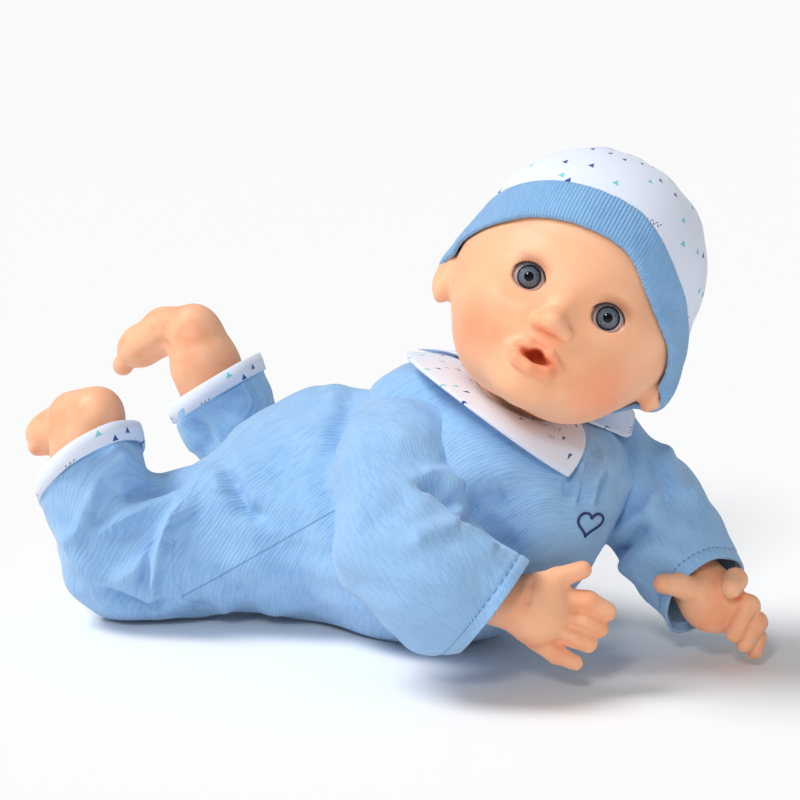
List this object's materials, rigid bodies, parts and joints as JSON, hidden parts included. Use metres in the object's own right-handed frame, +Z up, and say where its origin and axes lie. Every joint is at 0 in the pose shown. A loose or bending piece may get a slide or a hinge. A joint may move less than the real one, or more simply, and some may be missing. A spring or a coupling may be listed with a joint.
{
  "type": "baby doll",
  "caption": "Soft-bodied baby doll in a romper and hat, lying propped on its hands, with weighted sleep eyes, swinging limbs, turning head and a press-to-talk sound module.",
  "frame": {"origin": "on the floor under the belly, in the middle of the flat patch that the doll lies on", "axes": "+X towards the head along the spine, +Y to the doll's left, +Z up"},
  "size_m": [0.3427, 0.1655, 0.2023],
  "materials": {
    "blue_jersey": "soft heather knit",
    "white_cotton": "matte printed jersey",
    "body_cloth": "matte woven",
    "stuffing": "loose polyester fill",
    "pouch": "matte woven pouch of pellets",
    "fastening_tape": "hook and loop tape",
    "skin_vinyl": "satin soft vinyl",
    "eye_white": "polished",
    "eye_iris": "polished",
    "eye_clear": "clear",
    "eye_weight": "cast",
    "inner_plastic": "moulded",
    "tie": "nylon",
    "case_plastic": "moulded",
    "screw_steel": "zinc plated",
    "speaker_black": "paper cone",
    "board_green": "solder mask",
    "cell_steel": "bright",
    "contact_metal": "spring temper",
    "lead_insulation": "matte",
    "spring_steel": "wire",
    "button_plastic": "moulded"
  },
  "bodies": {
    "torso": {"battery_contacts": "contact_metal", "battery_door": "case_plastic", "bean_pouch": "pouch", "body_cover_back": "body_cloth", "body_cover_front": "body_cloth", "button_cells": "cell_steel", "button_spring": "spring_steel", "case_screws": "screw_steel", "circuit_board": "board_green", "closure_hook_strip": "fastening_tape", "closure_loop_strip": "fastening_tape", "collar_left": "white_cotton", "collar_right": "white_cotton", "romper_back": "blue_jersey", "romper_front": "blue_jersey", "sound_case_back": "case_plastic", "sound_case_front": "case_plastic", "speaker": "speaker_black", "speaker_leads": "lead_insulation", "torso_stuffing": "stuffing"},
    "neck_ring": {"neck_casing": "body_cloth", "neck_tie": "tie"},
    "head": {"eye_socket_left": "inner_plastic", "eye_socket_right": "inner_plastic", "head_shell": "skin_vinyl", "neck_plug": "inner_plastic"},
    "eye_left": {"cornea_left": "eye_clear", "eye_weight_left": "eye_weight", "eyeball_left": "eye_white", "eyelid_left": "skin_vinyl", "iris_left": "eye_iris"},
    "eye_right": {"cornea_right": "eye_clear", "eye_weight_right": "eye_weight", "eyeball_right": "eye_white", "eyelid_right": "skin_vinyl", "iris_right": "eye_iris"},
    "hat": {"hat_band": "blue_jersey", "hat_crown": "white_cotton"},
    "arm_left": {"arm_left": "skin_vinyl", "arm_tie_left": "tie", "sleeve_left": "blue_jersey", "upper_arm_left": "body_cloth"},
    "arm_right": {"arm_right": "skin_vinyl", "arm_tie_right": "tie", "sleeve_right": "blue_jersey", "upper_arm_right": "body_cloth"},
    "leg_left": {"ankle_cuff_left": "white_cotton", "leg_left": "skin_vinyl", "leg_tie_left": "tie", "thigh_left": "body_cloth", "trouser_leg_left": "blue_jersey"},
    "leg_right": {"ankle_cuff_right": "white_cotton", "leg_right": "skin_vinyl", "leg_tie_right": "tie", "thigh_right": "body_cloth", "trouser_leg_right": "blue_jersey"},
    "voice_button": {"voice_button": "button_plastic"}
  },
  "joints": [
    {"name": "neck_tilt", "type": "hinge", "parent": "torso", "child": "neck_ring", "pos_m": [0.084, -0.005, 0.094], "axis": [0.8153, 0.4075, -0.4114], "range_deg": [-10, 10]},
    {"name": "neck_turn", "type": "hinge", "parent": "neck_ring", "child": "head", "pos_m": [0.084, -0.005, 0.094], "axis": [0.4169, 0.08, 0.9054], "range_deg": [-40, 40]},
    {"name": "eye_left_close", "type": "hinge", "parent": "head", "child": "eye_left", "pos_m": [0.1383, -0.0217, 0.1436], "axis": [0.8093, 0.3963, -0.4336], "range_deg": [0, 75]},
    {"name": "eye_right_close", "type": "hinge", "parent": "head", "child": "eye_right", "pos_m": [0.1103, -0.03541, 0.1586], "axis": [0.8093, 0.3963, -0.4336], "range_deg": [0, 75]},
    {"name": "hat_lift", "type": "slide", "parent": "head", "child": "hat", "axis": [-0.121, 0.8348, 0.5371], "range_m": [0, 0.09]},
    {"name": "shoulder_right_swing", "type": "hinge", "parent": "torso", "child": "arm_right", "pos_m": [0.06, -0.046, 0.079], "axis": [-0.342, -0.9397, 0], "range_deg": [0, 35]},
    {"name": "shoulder_left_swing", "type": "hinge", "parent": "torso", "child": "arm_left", "pos_m": [0.099, 0.038, 0.079], "axis": [-0.342, -0.9397, 0], "range_deg": [-40, 60]},
    {"name": "hip_right_swing", "type": "hinge", "parent": "torso", "child": "leg_right", "pos_m": [-0.03, -0.0165, 0.04], "axis": [0, 1, 0], "range_deg": [-80, 40]},
    {"name": "hip_left_swing", "type": "hinge", "parent": "torso", "child": "leg_left", "pos_m": [-0.03, 0.0165, 0.04], "axis": [0, 1, 0], "range_deg": [-80, 25]},
    {"name": "voice_button_press", "type": "slide", "parent": "torso", "child": "voice_button", "axis": [0, 0, 1], "range_m": [0, 0.0015], "stiffness_N_per_m": 400, "springref_m": -0.0005, "deforming": ["button_spring"]}
  ]
}
